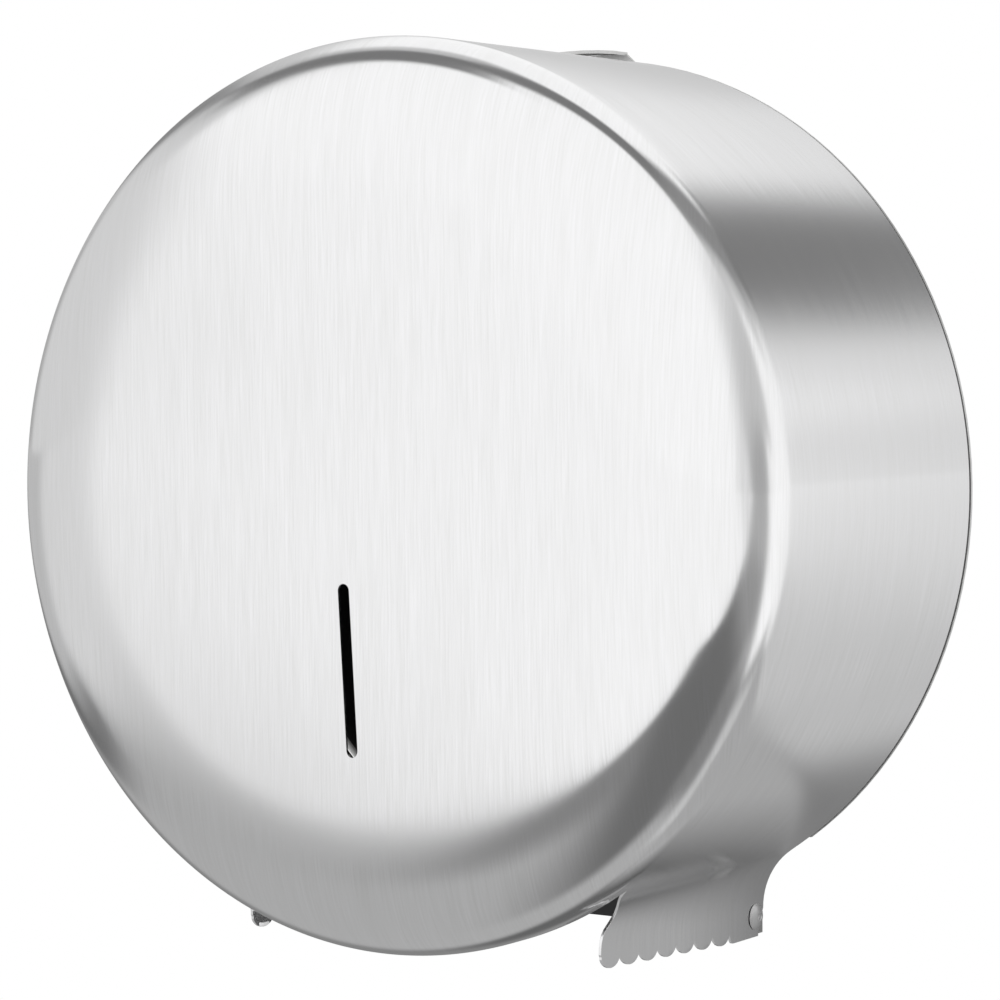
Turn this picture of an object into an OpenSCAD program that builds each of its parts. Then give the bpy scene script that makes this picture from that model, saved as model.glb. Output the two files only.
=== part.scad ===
// Wall-mounted drum dispenser for one jumbo toilet roll, in brushed stainless sheet.
// The wall is the plane y = 0 and the front faces -Y. The origin is on the wall, on the drum's axis.
// Side views below are drawn in (h, z): h is the distance forward from the wall, z is the height.

/* [Drum] */
// Outside radius of the drum
drum_r = 130; // [118:1:150]
// Depth from the wall to the flat face
drum_depth = 131; // [128:1:150]
// Sheet thickness of the cover
cover_sheet = 0.8; // [0.6:0.1:1.2]
// How far the drawn edge reaches in over the face
edge_radial = 33; // [20:1:40]
// How far the drawn edge reaches back along the side
edge_axial = 21.5; // [14:0.5:26]
// Gap between the cover's rear edge and the plate, at the top
gap_top = 0.4; // [0.3:0.1:1]
// The same gap at the foot, where the closed cover leans out
gap_foot = 1.6; // [1:0.1:2.2]

/* [Viewing slot] */
// Length of the slot
slot_length = 48.4; // [30:1:70]
// Width of the slot
slot_width = 3.8; // [2:0.2:6]
// Distance of the slot's centre below the drum's axis
slot_drop = 47.2; // [40:1:60]
// Turn of the slot about the drum's axis, off plumb
slot_turn = 3.2; // [0:0.1:5]

/* [Outlet and tear lips] */
// Angle from straight down at which the band leaves the drum to become a lip
outlet_angle = 35; // [31:1:38]
// Width of the closed ring of side in front of the outlet
ring_width = 31; // [27:1:36]
// How far a lip's outer face stands inside the point where it leaves the drum
lip_inset = 12.6; // [11:0.2:15]
// Outside radius of the bend into the lip
lip_bend_r = 22; // [14:1:24]
// How far the lip hangs below the drum, at the wall
lip_hang = 4.9; // [3.5:0.1:7]
// How much higher the lip ends at its front tooth
lip_rise = 4.4; // [0:0.2:5]
// Number of teeth on each lip
teeth = 7; // [4:1:8]
// Spacing of the teeth
tooth_pitch = 10.2; // [8:0.2:10.4]
// Depth of the notches between the teeth
tooth_depth = 3.5; // [2:0.1:4]
// Length of the plain end of the lip, behind the teeth
plain_end = 22.6; // [21:0.2:26]

/* [Cover hinge] */
// Distance of the hinge pivot from the wall
pivot_out = 7.5; // [7:0.1:9]
// Height of the pivot above the lip's lower edge
pivot_up = 6.1; // [5.6:0.1:6.6]
// Radius of the rivet's shank
rivet_r = 2; // [1.6:0.1:2.4]
// Radius of the rivet's domed head
rivet_head_r = 4; // [3.2:0.1:4.2]
// Height of the rivet's domed head
rivet_head_h = 1.5; // [1:0.1:2]
// Radius of the dimple in the rivet's head
rivet_dimple_r = 1.1; // [0.8:0.1:1.3]
// Running clearance round the hinge rivet
rivet_play = 0.05; // [0.03:0.01:0.09]
// Thickness of the hinge washer
hinge_washer_t = 0.8; // [0.5:0.1:1.2]
// Outside radius of the hinge washer
hinge_washer_r = 4.4; // [3.6:0.1:4.8]
// Clearance on each side of the hinge washer
hinge_side_play = 0.1; // [0.05:0.05:0.2]

/* [Wall plate] */
// Sheet thickness of the plate
plate_t = 1; // [0.8:0.1:1.4]
// How far the plate's foot ends above the lip's lower edge
foot_up = 0.1; // [0:0.1:1]
// Spacing of the wall screw holes, across and up
screw_spacing = 96; // [88:1:110]
// Radius of the wall screw holes
screw_hole_r = 3.25; // [2.5:0.25:4]
// Inside radius of the pressed ring
bead_r = 80; // [79:1:84]
// Width of the pressed ring
bead_w = 12; // [8:1:14]
// Height of the pressed ring
bead_h = 2.2; // [1:0.2:3]
// Reach of the locating tabs
locator_reach = 8; // [5:0.5:11]
// Width of the locating tabs
locator_w = 16; // [10:1:24]
// Radial clearance between the locating tabs and the cover
locator_play = 0.8; // [0.6:0.1:1.2]
// Width of the top tab at its root
tab_w = 33.2; // [24:0.2:44]
// Height of the top tab above the drum
tab_rise = 2.75; // [2.4:0.05:4]
// Reach of the top tab over the cover
tab_reach = 8; // [6:0.5:11]
// Slope of the top tab's ends, across
tab_slope = 2.9; // [1:0.1:5]

/* [Spindle] */
// Radius of the axle
axle_r = 5; // [4.4:0.1:5.6]
// Radius of the axle's threaded tail
tail_r = 4; // [3:0.5:4]
// Radius of the axle's collar
collar_r = 8; // [7:0.5:9]
// Thickness of the axle's collar
collar_t = 2.2; // [1.5:0.1:3]
// Sheet thickness of the spindle bracket
bracket_t = 1.2; // [1:0.1:1.6]
// Height of the spindle bracket over the plate
bracket_h = 11.2; // [11:0.2:13]
// Radius of the bracket's flange
bracket_r = 45; // [42:1:50]
// Radius of the bracket's raised face
bracket_top_r = 22; // [18:1:24]
// Outside radius of the hub, for the roll's core
hub_r = 21.8; // [19:0.1:24]
// Length of the hub
hub_length = 91.6; // [84:0.5:93]
// Wall of the hub's skin
hub_wall = 3; // [2:0.2:3.6]
// Radius of the guide flange
flange_r = 46; // [35:1:60]
// Thickness of the guide flange
flange_t = 2.6; // [2:0.2:4]
// Wall of the hub's inner boss
boss_wall = 2.6; // [2:0.2:3.2]
// Number of webs in the hub
webs = 6; // [4:1:8]
// Thickness of the webs
web_t = 1.8; // [1.2:0.2:2.6]
// Wall of the hub's bushes
bush_wall = 2.6; // [2:0.2:3]
// Length of each bush
bush_length = 14; // [8:1:20]
// Running clearance between the axle and the bushes
bush_play = 0.04; // [0.02:0.01:0.08]
// Thickness of the thrust washers
thrust_t = 0.9; // [0.6:0.1:1.2]
// Clearance at each face along the axle
end_play = 0.1; // [0.05:0.05:0.2]
// Thickness of the retaining ring
ring_t = 1.2; // [0.8:0.1:1.5]
// Depth of the groove that holds the retaining ring
groove_depth = 0.8; // [0.6:0.1:1]
// Depth of the cap's skirt inside the hub
cap_skirt = 8; // [5:0.5:10]
// Wall of the cap
cap_wall = 2; // [1.6:0.2:2.4]
// Height of the cap's dome
cap_dome = 7.5; // [7:0.5:9]

/* [Latch] */
// Width of the catch
catch_w = 9; // [7:0.5:10]
// Clearance round the catch in the cover's slot
catch_play = 0.9; // [0.7:0.1:1.2]
// Distance from the wall to the catch's steep face
catch_out = 12.5; // [12:0.1:13]
// Thickness of the catch's nose
nose_t = 3.4; // [2.6:0.2:4]
// How far the nose stands proud of the drum
nose_proud = 0.6; // [0.4:0.1:1]
// Distance of the latch pin from the wall
latch_pin_out = 24; // [23:0.5:25]
// Drop of the latch pin below the drum's top
latch_pin_drop = 9.6; // [9:0.1:10.5]
// Radius of the latch pin
latch_pin_r = 1.5; // [1.2:0.1:1.8]
// Running clearance round the latch pin
latch_pin_play = 0.05; // [0.03:0.01:0.09]
// Sheet thickness of the latch bracket
latch_sheet = 1; // [0.8:0.1:1.2]
// Distance between the latch bracket's arms
latch_gap = 17; // [16:0.5:19]
// How far the latch bracket's foot reaches below the pin
latch_foot = 11; // [10.5:0.1:11.5]
// Distance of the latch bracket's rivets above its foot's end
latch_rivet_up = 4; // [3.5:0.1:4.5]
// Distance between the latch bracket's rivets
latch_rivet_pitch = 10; // [8:0.5:11]
// Radius of the ends of the bracket's arms and of the catch's boss
latch_boss_r = 3.6; // [3:0.1:4]
// Wire radius of the torsion spring
wire_r = 0.4; // [0.3:0.05:0.45]
// Turns of the torsion spring
spring_turns = 3; // [2:1:3]

/* [Hidden] */
$fn = 96;

steel = "#c9cbcc";
steel_dull = "#a9abac";
plastic_white = "#e6e6e2";
plastic_grey = "#8d9093";
nylon = "#d8d6cc";

cut = 400;          // longer than anything it cuts
edge_steps = 18;    // flats along the drawn edge
bend_steps = 12;    // flats round a sheet bend
tooth_steps = 10;   // flats round a tooth

drum_in = drum_r - cover_sheet;
ring_back = drum_depth - ring_width;

// Where the right lip leaves the drum, and the corner that its bend rounds off
leave_x = drum_r * sin(outlet_angle);
leave_z = -drum_r * cos(outlet_angle);
lip_x = leave_x - lip_inset;
run_to_corner = lip_inset / cos(outlet_angle);
corner_z = leave_z - run_to_corner * sin(outlet_angle);
bend_turn = 90 - outlet_angle;
bend_r = min(lip_bend_r, 0.95 * run_to_corner / tan(bend_turn / 2));
bend_z = corner_z - bend_r * tan(bend_turn / 2);
lip_end = -drum_r - lip_hang;

pivot_z = lip_end + pivot_up;
ear_x = lip_x - cover_sheet - hinge_washer_t - 2 * hinge_side_play;
plate_foot = lip_end + foot_up;

// Stations along the axle, as distances from the wall
hat_back = plate_t + bracket_h - bracket_t;
hat_front = plate_t + bracket_h;
collar_front = hat_front + collar_t;
hub_back = collar_front + thrust_t + 2 * end_play;
hub_front = hub_back + hub_length;
ring_seat = hub_front + thrust_t + 2 * end_play;
axle_end = ring_seat + ring_t + 2;
groove_r = axle_r - groove_depth;
bush_in = axle_r + bush_play;
bush_out = bush_in + bush_wall;
boss_r = bush_out + boss_wall;
skin_in = hub_r - hub_wall;

latch_z = drum_r - latch_pin_drop;
latch_foot_z = latch_z - latch_foot;
latch_rivet_z = latch_foot_z + latch_rivet_up;
catch_slot_back = catch_out - 0.4;
catch_slot_front = catch_out + nose_t + 4;

rivet_circle = (bracket_r + bracket_top_r + 5) / 2;
nut_t = 5.2;
lock_washer_t = 1.1;
flange_rivet_r = 2;
flange_head_r = 3.4;
flange_head_h = 1.2;
latch_rivet_r = 1.5;

function arc(cx, cy, r, from, to, steps) =
    [for (i = [0:steps]) let (a = from + (to - from) * i / steps) [cx + r * cos(a), cy + r * sin(a)]];

function ellipse_arc(cx, cy, rx, ry, from, to, steps) =
    [for (i = [0:steps]) let (a = from + (to - from) * i / steps) [cx + rx * cos(a), cy + ry * sin(a)]];

function curve(p, q, r, s, steps) =
    [for (i = [0:steps]) let (t = i / steps, u = 1 - t)
        u * u * u * p + 3 * u * u * t * q + 3 * u * t * t * r + t * t * t * s];

// Turns a revolved or raised shape so that its height points away from the wall
module from_wall() { rotate([90, 0, 0]) children(); }

// A revolved ring or disc, given as inner and outer radius and two distances from the wall
module turned(r_in, r_out, back, front) {
    from_wall() translate([0, 0, back]) difference() {
        cylinder(r = r_out, h = front - back);
        if (r_in > 0) translate([0, 0, -1]) cylinder(r = r_in, h = front - back + 2);
    }
}

// Raises a side view in (h, z) into a sheet between two x positions
module side_sheet(x_from, x_to) {
    translate([x_from, 0, 0]) rotate([90, 0, -90]) mirror([0, 0, 1])
        linear_extrude(x_to - x_from) children();
}

// A round bar along X
module cross_bar(r, x_from, x_to, h, z) {
    translate([x_from, -h, z]) rotate([0, 90, 0]) cylinder(r = r, h = x_to - x_from);
}

// ---- Cover -------------------------------------------------------------------------------------

module drum_skin() {
    outer = concat([[drum_r, 0]],
        ellipse_arc(drum_r - edge_radial, drum_depth - edge_axial, edge_radial, edge_axial,
            0, 90, edge_steps),
        [[0, drum_depth]]);
    inner = concat([[0, drum_depth - cover_sheet]],
        ellipse_arc(drum_r - edge_radial, drum_depth - edge_axial, edge_radial - cover_sheet,
            edge_axial - cover_sheet, 90, 0, edge_steps),
        [[drum_in, 0]]);
    from_wall() rotate_extrude($fn = 180) polygon(concat(outer, inner));
}

// The wedge of side that is cut away to let the paper out
module outlet_wedge() {
    reach = 2 * drum_r;
    from_wall() linear_extrude(ring_back) polygon([[0, 0],
        [reach * sin(outlet_angle), -reach * cos(outlet_angle)],
        [-reach * sin(outlet_angle), -reach * cos(outlet_angle)]]);
}

// A point in the drum's skin, a little way up from where the lip leaves it
function in_skin(r) = let (a = outlet_angle + 1.5) [r * sin(a), -r * cos(a)];

// The lip's sheet, seen along Y: off the drum on its tangent, round the bend and straight down
module lip_section() {
    bend_x = lip_x + bend_r;
    overlap = 0.2;
    polygon(concat([in_skin(drum_r - overlap), [leave_x, leave_z]],
        arc(bend_x, bend_z, bend_r, 180 - bend_turn, 180, bend_steps),
        [[lip_x, lip_end - 5], [lip_x - cover_sheet, lip_end - 5]],
        arc(bend_x, bend_z, bend_r + cover_sheet, 180, 180 - bend_turn, bend_steps),
        [[drum_in * sin(outlet_angle), -drum_in * cos(outlet_angle)], in_skin(drum_in + overlap)]));
}

function tooth_line(h) = lip_end + lip_rise * (h - plain_end) / (ring_back - plain_end);

// One rounded tooth as a run of points, from its rear notch to its front notch
function tooth(i) = let (back = plain_end + i * tooth_pitch)
    [for (k = [1:tooth_steps]) let (a = 180 + 180 * k / tooth_steps,
            h = back + tooth_pitch / 2 * (1 + cos(a)))
        [h, tooth_line(h) + tooth_depth * (1 + sin(a))]];

// The lip's outline, seen from the side in (h, z)
module lip_outline() {
    front = plain_end + teeth * tooth_pitch;
    tip = [ring_back, leave_z];
    waist = [front - 2.8, leave_z - 9.5];
    cheek = [front, leave_z - 16];
    last_notch = [front, tooth_line(front) + tooth_depth];
    polygon(concat(
        [[0, leave_z + 1], [ring_back, leave_z + 1]],
        curve(tip, tip + [-4, -4], waist + [-0.6, 3], waist, 8),
        curve(waist, waist + [0.6, -3], cheek + [0, 3], cheek, 6),
        [last_notch],
        [for (i = [teeth - 1:-1:0], k = [tooth_steps - 1:-1:0])
            k == 0 ? [plain_end + i * tooth_pitch, tooth_line(plain_end + i * tooth_pitch) + tooth_depth]
                : tooth(i)[k - 1]],
        arc(plain_end - 1.9, lip_end + 1.6, 1.6, 0, -90, 4),
        [[pivot_out - 1.7, lip_end], [gap_top + 1, pivot_z], [0, pivot_z + 1]]));
}

module lip() {
    intersection() {
        from_wall() linear_extrude(ring_back) lip_section();
        side_sheet(lip_x - 2 * cover_sheet, leave_x + 4) lip_outline();
    }
}

// Everything nearer to the wall than the cover's rear edge, which leans out towards the foot
module rear_trim() {
    height = drum_r - leave_z;
    lean = atan((gap_foot - gap_top) / height);
    translate([0, -plate_t - gap_top, drum_r]) rotate([-lean, 0, 0])
        translate([-cut / 2, 0, -cut]) cube([cut, cut, 2 * cut]);
}

module viewing_slot() {
    half = (slot_length - slot_width) / 2;
    rotate([0, -slot_turn, 0]) translate([0, -drum_depth + 3, -slot_drop]) from_wall() {
        for (s = [-1, 1]) translate([0, s * half, 0]) cylinder(d = slot_width, h = 6, $fn = 48);
        translate([-slot_width / 2, -half, 0]) cube([slot_width, 2 * half, 6]);
    }
}

module cover_shell() {
    slot_w = catch_w + 2 * catch_play;
    color(steel) difference() {
        union() {
            difference() {
                drum_skin();
                outlet_wedge();
            }
            lip();
            mirror([1, 0, 0]) lip();
        }
        rear_trim();
        viewing_slot();
        translate([-slot_w / 2, -catch_slot_front, drum_r - 6])
            cube([slot_w, catch_slot_front - catch_slot_back, 12]);
        cross_bar(rivet_r + rivet_play, -drum_r, drum_r, pivot_out, pivot_z);
    }
}

// ---- Wall plate --------------------------------------------------------------------------------

module plate_outline() {
    difference() {
        union() {
            intersection() {
                circle(r = drum_r, $fn = 180);
                translate([-drum_r, leave_z + 2]) square([2 * drum_r, 2 * drum_r]);
            }
            translate([-ear_x, plate_foot]) square([2 * ear_x, drum_r]);
            polygon([[-tab_w / 2, drum_r - 4], [tab_w / 2, drum_r - 4],
                [tab_w / 2, sqrt(drum_r * drum_r - tab_w * tab_w / 4)],
                [tab_w / 2 - tab_slope, drum_r + tab_rise - 1.2],
                [-tab_w / 2 + tab_slope, drum_r + tab_rise - 1.2],
                [-tab_w / 2, sqrt(drum_r * drum_r - tab_w * tab_w / 4)]]);
        }
        difference() {
            circle(r = bead_r + bead_w + 4, $fn = 120);
            circle(r = bead_r - 4, $fn = 120);
        }
    }
}

// The pressed ring that stiffens the plate
module plate_bead() {
    slope = 3;
    from_wall() rotate_extrude($fn = 120) polygon([
        [bead_r - 4, 0], [bead_r - slope, 0], [bead_r, bead_h], [bead_r + bead_w, bead_h],
        [bead_r + bead_w + slope, 0], [bead_r + bead_w + 4, 0],
        [bead_r + bead_w + 4, plate_t], [bead_r + bead_w + slope + 0.4, plate_t],
        [bead_r + bead_w + 0.4, bead_h + plate_t], [bead_r - 0.4, bead_h + plate_t],
        [bead_r - slope - 0.4, plate_t], [bead_r - 4, plate_t]]);
}

// The top tab's lip, bent forward over the cover
module top_tab() {
    under = drum_r + tab_rise - plate_t;
    half = tab_w / 2 - tab_slope;
    from_wall() intersection() {
        difference() {
            cylinder(r = under + plate_t, h = tab_reach, $fn = 180);
            translate([0, 0, -1]) cylinder(r = under, h = tab_reach + 2, $fn = 180);
        }
        translate([-half, drum_r - 10, 0]) cube([2 * half, 20, tab_reach]);
    }
}

module locator(angle) {
    r_out = drum_in - locator_play;
    from_wall() intersection() {
        difference() {
            cylinder(r = r_out, h = plate_t + locator_reach, $fn = 180);
            translate([0, 0, -1]) cylinder(r = r_out - plate_t, h = plate_t + locator_reach + 2, $fn = 180);
        }
        rotate([0, 0, -angle]) translate([-locator_w / 2, r_out - 6, 0])
            cube([locator_w, 12, plate_t + locator_reach]);
    }
}

// The ear that a hinge rivet passes through, on the right-hand side
module plate_ear() {
    round = pivot_up - foot_up;
    side_sheet(ear_x - plate_t, ear_x) {
        polygon([[0, plate_foot], [pivot_out, plate_foot], [pivot_out + round, pivot_z],
            [pivot_out + round - 1, pivot_z + 4], [pivot_out, pivot_z + 14], [0, pivot_z + 17]]);
        translate([pivot_out, pivot_z]) circle(r = round, $fn = 48);
    }
}

module wall_plate() {
    color(steel_dull) difference() {
        union() {
            from_wall() linear_extrude(plate_t) plate_outline();
            plate_bead();
            top_tab();
            for (a = [58, 112, -58, -112]) locator(a);
            plate_ear();
            mirror([1, 0, 0]) plate_ear();
        }
        for (x = [-1, 1], z = [-1, 1])
            translate([x * screw_spacing / 2, 1, z * screw_spacing / 2]) from_wall()
                cylinder(r = screw_hole_r, h = plate_t + 2);
        for (a = [45:90:315]) rotate([0, a, 0]) translate([rivet_circle, 1, 0]) from_wall()
            cylinder(r = flange_rivet_r, h = plate_t + 2);
        for (s = [-1, 1]) translate([s * latch_rivet_pitch / 2, 1, latch_rivet_z]) from_wall()
            cylinder(r = latch_rivet_r, h = plate_t + 2);
        cross_bar(rivet_r, -drum_r, drum_r, pivot_out, pivot_z);
    }
}

// ---- Hinge rivets and washers ------------------------------------------------------------------

// Half section of a domed head on its shank, with the head's seat at height 0
function dome(head_r, head_h, steps) = let (r = (head_r * head_r + head_h * head_h) / (2 * head_h),
        half = asin(head_r / r))
    arc(0, head_h - r, r, 90 - half, 90, steps);

// Blind rivet on the right-hand side: domed head outside, upset tail inside the ear
module hinge_rivet() {
    head_x = lip_x + 0.2;
    tail = 1.4;
    tail_x = ear_x - plate_t;
    grip = head_x - tail_x;
    dimple_floor = grip + rivet_head_h * 0.35;
    rim = [for (p = dome(rivet_head_r, rivet_head_h, 8)) if (p[0] > rivet_dimple_r) [p[0], p[1] + grip]];
    translate([tail_x, -pivot_out, pivot_z]) rotate([0, 90, 0]) rotate_extrude($fn = 64)
        polygon(concat([[0, -tail], [rivet_r + 1.1, -tail], [rivet_r + 1.1, 0], [rivet_r, 0],
            [rivet_r, grip]], rim,
            [[rivet_dimple_r, grip + rivet_head_h * 0.93], [rivet_dimple_r, dimple_floor],
            [0, dimple_floor]]));
}

module hinge_washer() {
    x = lip_x - cover_sheet - hinge_side_play;
    difference() {
        cross_bar(hinge_washer_r, x - hinge_washer_t, x, pivot_out, pivot_z);
        cross_bar(rivet_r + rivet_play, x - 5, x + 5, pivot_out, pivot_z);
    }
}

module right_hinge_rivet() { color(steel) hinge_rivet(); }
module left_hinge_rivet() { color(steel) mirror([1, 0, 0]) hinge_rivet(); }
module right_hinge_washer() { color(nylon) hinge_washer(); }
module left_hinge_washer() { color(nylon) mirror([1, 0, 0]) hinge_washer(); }

// ---- Spindle -----------------------------------------------------------------------------------

module spindle_bracket() {
    foot_r = bracket_top_r + 5;
    flange_front = plate_t + bracket_t;
    color(steel_dull) difference() {
        from_wall() rotate_extrude() polygon([[tail_r, hat_back], [bracket_top_r - 0.8, hat_back],
            [foot_r - 1, plate_t], [bracket_r, plate_t], [bracket_r, flange_front],
            [foot_r + 0.2, flange_front], [bracket_top_r, hat_front], [tail_r, hat_front]]);
        for (a = [45:90:315]) rotate([0, a, 0]) translate([rivet_circle, 0, 0]) from_wall()
            cylinder(r = flange_rivet_r, h = plate_t + bracket_t + 2);
    }
}

// Domed rivet through the plate and what lies on it, flush with the wall side
module flange_rivet(r, head_r, head_h, grip) {
    from_wall() rotate_extrude($fn = 48) polygon(concat([[0, 0], [r, 0], [r, grip]],
        [for (p = dome(head_r, head_h, 6)) [max(0, p[0]), p[1] + grip]]));
}

module bracket_rivets() {
    color(steel) for (a = [45:90:315]) rotate([0, a, 0]) translate([rivet_circle, 0, 0])
        flange_rivet(flange_rivet_r, flange_head_r, flange_head_h, plate_t + bracket_t);
}

module axle() {
    chamfer = 1;
    tail_end = hat_back - lock_washer_t - nut_t - 1;
    color(steel) from_wall() rotate_extrude() polygon([[0, tail_end], [tail_r - 0.5, tail_end],
        [tail_r, tail_end + 0.5], [tail_r, hat_front], [collar_r, hat_front],
        [collar_r, collar_front], [axle_r, collar_front], [axle_r, ring_seat],
        [groove_r, ring_seat], [groove_r, ring_seat + ring_t], [axle_r, ring_seat + ring_t],
        [axle_r, axle_end - chamfer], [axle_r - chamfer, axle_end], [0, axle_end]]);
}

module axle_lock_washer() {
    color(steel_dull) difference() {
        turned(tail_r, tail_r + 3, hat_back - lock_washer_t, hat_back);
        translate([0, -hat_back - 1, 0]) rotate([0, 30, 0]) cube([cut, lock_washer_t + 3, 0.8]);
    }
}

module axle_nut() {
    front = hat_back - lock_washer_t;
    color(steel_dull) from_wall() translate([0, 0, front - nut_t]) difference() {
        cylinder(r = tail_r * 1.85, h = nut_t, $fn = 6);
        translate([0, 0, -1]) cylinder(r = tail_r, h = nut_t + 2);
    }
}

module rear_thrust_washer() {
    color(nylon) turned(axle_r + bush_play, collar_r, collar_front + end_play,
        collar_front + end_play + thrust_t);
}

module front_thrust_washer() {
    color(nylon) turned(axle_r + bush_play, collar_r, hub_front + end_play, hub_front + end_play + thrust_t);
}

// Open ring that springs into the axle's groove
module retaining_ring() {
    color(steel_dull) difference() {
        turned(groove_r, axle_r + 2.6, ring_seat, ring_seat + ring_t);
        translate([0, -ring_seat - ring_t - 1, 0]) rotate([0, 45, 0])
            translate([0, 0, -groove_r * 0.8]) cube([cut, ring_t + 2, groove_r * 1.6]);
    }
}

module hub_skin() {
    nose = 3;
    from_wall() rotate_extrude() polygon([[skin_in, hub_back], [flange_r - 1, hub_back],
        [flange_r, hub_back + 1], [flange_r, hub_back + flange_t], [hub_r, hub_back + flange_t],
        [hub_r, hub_front - nose], [hub_r - 0.8, hub_front], [skin_in, hub_front]]);
}

module roll_hub() {
    web_front = hub_front - cap_skirt - 0.3;
    color(plastic_white) {
        hub_skin();
        turned(bush_out, boss_r, hub_back, hub_front);
        for (i = [0:webs - 1]) rotate([0, i * 360 / webs, 0])
            translate([boss_r - 0.6, -web_front, -web_t / 2])
                cube([skin_in - boss_r + 1.2, web_front - hub_back - 1, web_t]);
    }
}

module hub_bush_rear() { color(plastic_grey) turned(bush_in, bush_out, hub_back, hub_back + bush_length); }
module hub_bush_front() { color(plastic_grey) turned(bush_in, bush_out, hub_front - bush_length, hub_front); }

module hub_end_cap() {
    rim_r = hub_r - 0.8;
    dome_front = hub_front + cap_dome;
    color(plastic_white) from_wall() rotate_extrude() polygon(concat(
        [[skin_in, hub_front - cap_skirt], [skin_in, hub_front], [rim_r, hub_front]],
        ellipse_arc(0, hub_front, rim_r, cap_dome, 0, 90, 14),
        [[0, dome_front - cap_wall + 0.6]],
        ellipse_arc(0, hub_front, skin_in - cap_wall, cap_dome - cap_wall + 0.6, 90, 0, 12),
        [[skin_in - cap_wall, hub_front - cap_skirt]]));
}

// ---- Latch -------------------------------------------------------------------------------------

module latch_arm(x) {
    side_sheet(x, x + latch_sheet) {
        polygon([[plate_t, latch_z - 2.2 * latch_boss_r], [latch_pin_out, latch_z - latch_boss_r],
            [latch_pin_out, latch_z + latch_boss_r], [plate_t, latch_z + latch_boss_r]]);
        translate([latch_pin_out, latch_z]) circle(r = latch_boss_r, $fn = 48);
    }
}

module latch_bracket() {
    half = latch_gap / 2;
    color(steel_dull) difference() {
        union() {
            translate([-half - latch_sheet, -plate_t - latch_sheet, latch_foot_z])
                cube([latch_gap + 2 * latch_sheet, latch_sheet, latch_z + latch_boss_r - latch_foot_z]);
            latch_arm(half);
            latch_arm(-half - latch_sheet);
        }
        cross_bar(latch_pin_r, -cut / 2, cut / 2, latch_pin_out, latch_z);
        for (s = [-1, 1]) translate([s * latch_rivet_pitch / 2, 0, latch_rivet_z]) from_wall()
            cylinder(r = latch_rivet_r, h = plate_t + latch_sheet + 2);
    }
}

module latch_rivets() {
    color(steel) for (s = [-1, 1]) translate([s * latch_rivet_pitch / 2, 0, latch_rivet_z])
        flange_rivet(latch_rivet_r, latch_rivet_r + 1.2, 1, plate_t + latch_sheet);
}

module latch_pin() {
    half = latch_gap / 2 + latch_sheet;
    color(steel) {
        cross_bar(latch_pin_r, -half - 0.8, half, latch_pin_out, latch_z);
        cross_bar(latch_pin_r + 1, half, half + 1, latch_pin_out, latch_z);
    }
}

// The catch, seen from the side: a round boss on the pin, an arm back and up, and the nose.
// The nose's working face lies on a circle round the pin, so it slides clear as the catch turns
module latch_lever() {
    nose_top = drum_r + nose_proud;
    shelf = drum_in - 1.6;
    nose_front = catch_out + nose_t;
    face_r = norm([latch_pin_out - catch_out, drum_in - latch_z]);
    face = arc(latch_pin_out, latch_z, face_r, 180 - asin((nose_top - latch_z) / face_r),
        180 - asin((drum_in - latch_z) / face_r), 6);
    color(steel) difference() {
        side_sheet(-catch_w / 2, catch_w / 2) {
            translate([latch_pin_out, latch_z]) circle(r = latch_boss_r, $fn = 48);
            polygon(concat([[latch_pin_out, latch_z - latch_boss_r], [latch_pin_out, latch_z + latch_boss_r],
                [nose_front + 1.5, shelf], [nose_front, shelf + 1], [nose_front - 0.9, nose_top]],
                face, [[catch_out, shelf - 4]]));
        }
        cross_bar(latch_pin_r + latch_pin_play, -cut / 2, cut / 2, latch_pin_out, latch_z);
    }
}

// Torsion spring beside the catch: its turns lie round the pin, one leg rests on the bracket's base
// and the other bends in under the catch
module latch_spring() {
    coil_r = latch_pin_r + wire_r + 0.35;
    rings = 8;
    sides = 6;
    pitch = 2 * wire_r + 0.15;
    start_x = catch_w / 2 + wire_r + 0.25;
    steps = spring_turns * rings;
    coil = [for (i = [0:steps]) let (a = 270 - 360 * i / rings)
        [start_x + pitch * i / rings, -latch_pin_out - coil_r * cos(a), latch_z + coil_r * sin(a)]];
    first = coil[0];
    last = coil[steps];
    leg = 6.5;
    leg_end = first + [0, leg, 1.7];
    path = concat([leg_end + [-3, 0.3, 0], leg_end + [-0.5, 0.1, 0], leg_end + [0, -0.6, -0.1]], coil,
        [last + [0, latch_pin_out - plate_t - latch_sheet - 0.1, 0]]);
    n = len(path);
    lean = [0.6, 0, 0.8];
    points = [for (i = [0:n - 1]) let (d = path[min(i + 1, n - 1)] - path[max(i - 1, 0)], t = d / norm(d),
            side = cross(t, lean), u = side / norm(side), v = cross(t, u))
        for (k = [0:sides - 1]) let (a = 360 * k / sides)
            path[i] + wire_r * (cos(a) * u + sin(a) * v)];
    walls = [for (i = [0:n - 2], k = [0:sides - 1]) let (a = i * sides + k, b = i * sides + (k + 1) % sides)
        each [[a, b, a + sides], [b, b + sides, a + sides]]];
    ends = [[for (k = [sides - 1:-1:0]) k], [for (k = [0:sides - 1]) (n - 1) * sides + k]];
    color(steel) polyhedron(points, concat(walls, ends));
}

cover_shell();
wall_plate();
right_hinge_rivet();
left_hinge_rivet();
right_hinge_washer();
left_hinge_washer();
spindle_bracket();
bracket_rivets();
axle();
axle_lock_washer();
axle_nut();
rear_thrust_washer();
roll_hub();
hub_bush_rear();
hub_bush_front();
front_thrust_washer();
retaining_ring();
hub_end_cap();
latch_bracket();
latch_rivets();
latch_pin();
latch_lever();
latch_spring();
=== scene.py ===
"""The looks of a wall-mounted drum dispenser for one jumbo toilet roll.

Everything is in metres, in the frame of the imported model: the wall is the plane y = 0, the round
face looks along -Y, +Z is up, and the origin is on the wall, on the axis of the drum.
"""

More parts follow.
